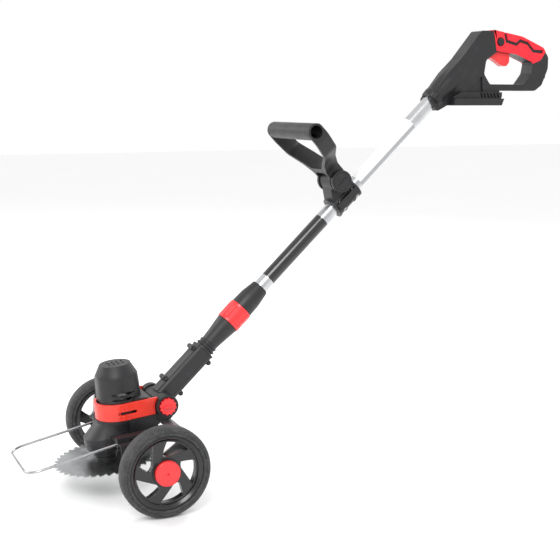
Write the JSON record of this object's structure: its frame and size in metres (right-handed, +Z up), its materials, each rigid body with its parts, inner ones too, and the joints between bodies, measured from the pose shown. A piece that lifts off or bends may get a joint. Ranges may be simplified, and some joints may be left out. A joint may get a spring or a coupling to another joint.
{
  "type": "lawn edger",
  "caption": "Two-wheeled cordless lawn edger with a toothed disc blade under a tilting motor head, a telescoping pole, a clamp-on loop handle and a D-shaped trigger handle.",
  "frame": {"origin": "on the ground under the middle of the object's box, on the centre plane", "axes": "+X to the user's right hand side wheel, +Y from the blade to the rear handle, +Z up"},
  "size_m": [0.3732, 1.0571, 0.793],
  "materials": {
    "tyre_rubber": "satin rubber",
    "rim_gloss": "gloss",
    "bright_red": "satin gloss",
    "band_red": "satin gloss",
    "soft_red": "soft matte",
    "charcoal": "fine moulded texture",
    "dark_plastic": "matte",
    "nylon": "matte",
    "tube_aluminium": "satin anodised",
    "blade_steel": "ground",
    "zinc_wire": "bright zinc plate",
    "bracket_steel": "zinc plate",
    "fastener_steel": "plated",
    "black_steel": "black oxide",
    "gear_steel": "cut steel",
    "bearing_steel": "ground",
    "motor_steel": "plated",
    "magnet": "matte",
    "terminal_brass": "plain",
    "black_band": "gloss film",
    "label_print": "printed film",
    "lead_rubber": "matte"
  },
  "bodies": {
    "head": {"gear_housing": "charcoal", "red_band": "band_red", "motor_cover": "charcoal", "motor_can": "motor_steel", "motor_magnets": "magnet", "gear_plate": "dark_plastic", "blade_guard": "charcoal", "motor_bearings": "bearing_steel", "spindle_bearings": "bearing_steel", "pivot_bolt": "fastener_steel", "wheel_bracket": "bracket_steel", "bracket_bolts": "fastener_steel", "axle_bolts": "fastener_steel"},
    "wheel_left": {"tyre_left": "tyre_rubber", "rim_left": "rim_gloss", "bush_left": "nylon", "hub_cap_left": "bright_red"},
    "wheel_right": {"tyre_right": "tyre_rubber", "rim_right": "rim_gloss", "bush_right": "nylon", "hub_cap_right": "bright_red"},
    "spindle": {"blade_spindle": "fastener_steel", "driven_gear": "gear_steel", "blade_flanges": "black_steel", "saw_blade": "blade_steel", "blade_nut": "fastener_steel"},
    "rotor": {"motor_shaft": "fastener_steel", "motor_pinion": "gear_steel", "rotor_core": "motor_steel", "cooling_fan": "dark_plastic"},
    "wire_guard": {"wire_guard": "zinc_wire"},
    "lower_shaft": {"shaft_housing_left": "charcoal", "shaft_housing_right": "charcoal", "shaft_screws": "black_steel", "lower_cone": "charcoal", "upper_cone": "charcoal", "collet": "nylon"},
    "lock_ring": {"lock_ring": "bright_red"},
    "tilt_knob": {"tilt_knob": "bright_red"},
    "upper_tube": {"pole_tube": "tube_aluminium", "dark_band": "black_band", "safety_label": "label_print", "power_lead": "lead_rubber", "rear_handle_left": "charcoal", "rear_handle_right": "charcoal", "grip_overmould": "soft_red", "battery_shoe": "charcoal", "battery_terminals": "terminal_brass", "trigger_pin": "fastener_steel", "switch_box": "dark_plastic", "handle_screws": "black_steel"},
    "trigger": {"trigger": "bright_red"},
    "lock_button": {"lock_button": "dark_plastic"},
    "handle_clamp": {"clamp_upper": "charcoal", "clamp_lower": "charcoal", "clamp_bolts": "fastener_steel"},
    "front_handle": {"front_handle": "charcoal"},
    "handle_knob": {"handle_knob": "charcoal"}
  },
  "joints": [
    {"name": "left_wheel_roll", "type": "hinge", "parent": "head", "child": "wheel_left", "pos_m": [-0.17, -0.32745, 0.075], "axis": [1, 0, 0], "continuous": true},
    {"name": "right_wheel_roll", "type": "hinge", "parent": "head", "child": "wheel_right", "pos_m": [0.17, -0.32745, 0.075], "axis": [1, 0, 0], "continuous": true},
    {"name": "blade_spin", "type": "hinge", "parent": "head", "child": "spindle", "pos_m": [0, -0.37545, 0.053], "axis": [0, -0.0958, 0.9954], "continuous": true},
    {"name": "rotor_spin", "type": "hinge", "parent": "head", "child": "rotor", "pos_m": [0, -0.35023, 0.14584], "axis": [0, -0.0958, 0.9954], "continuous": true},
    {"name": "wire_slide", "type": "slide", "parent": "head", "child": "wire_guard", "axis": [0, 0.9794, 0.202], "range_m": [0, 0.03]},
    {"name": "head_tilt", "type": "hinge", "parent": "head", "child": "lower_shaft", "pos_m": [0, -0.28045, 0.145], "axis": [1, 0, 0], "range_deg": [-30, 20]},
    {"name": "tilt_knob_turn", "type": "hinge", "parent": "head", "child": "tilt_knob", "pos_m": [0.045, -0.28045, 0.145], "axis": [1, 0, 0], "range_deg": [0, 180]},
    {"name": "lock_ring_turn", "type": "hinge", "parent": "lower_shaft", "child": "lock_ring", "pos_m": [0, -0.13442, 0.28165], "axis": [0, 0.7302, 0.6833], "range_deg": [0, 60]},
    {"name": "tube_extend", "type": "slide", "parent": "lower_shaft", "child": "upper_tube", "axis": [0, 0.7302, 0.6833], "range_m": [-0.03, 0.06]},
    {"name": "trigger_press", "type": "hinge", "parent": "upper_tube", "child": "trigger", "pos_m": [0, 0.39855, 0.757], "axis": [1, 0, 0], "range_deg": [0, 8], "stiffness_Nm_per_rad": 0.8},
    {"name": "lock_button_press", "type": "slide", "parent": "upper_tube", "child": "lock_button", "axis": [-1, 0, 0], "range_m": [0, 0.003], "stiffness_N_per_m": 500},
    {"name": "clamp_slide", "type": "slide", "parent": "upper_tube", "child": "handle_clamp", "axis": [0, 0.7302, 0.6833], "range_m": [-0.1, 0.15]},
    {"name": "front_handle_tilt", "type": "hinge", "parent": "handle_clamp", "child": "front_handle", "pos_m": [0, 0.06368, 0.51634], "axis": [1, 0, 0], "range_deg": [-40, 40]},
    {"name": "handle_knob_turn", "type": "hinge", "parent": "handle_clamp", "child": "handle_knob", "pos_m": [0.025, 0.06368, 0.51634], "axis": [1, 0, 0], "range_deg": [0, 180]}
  ],
  "couplings": [
    {"joint": "rotor_spin", "follows": "blade_spin", "ratio": -3.8571}
  ]
}
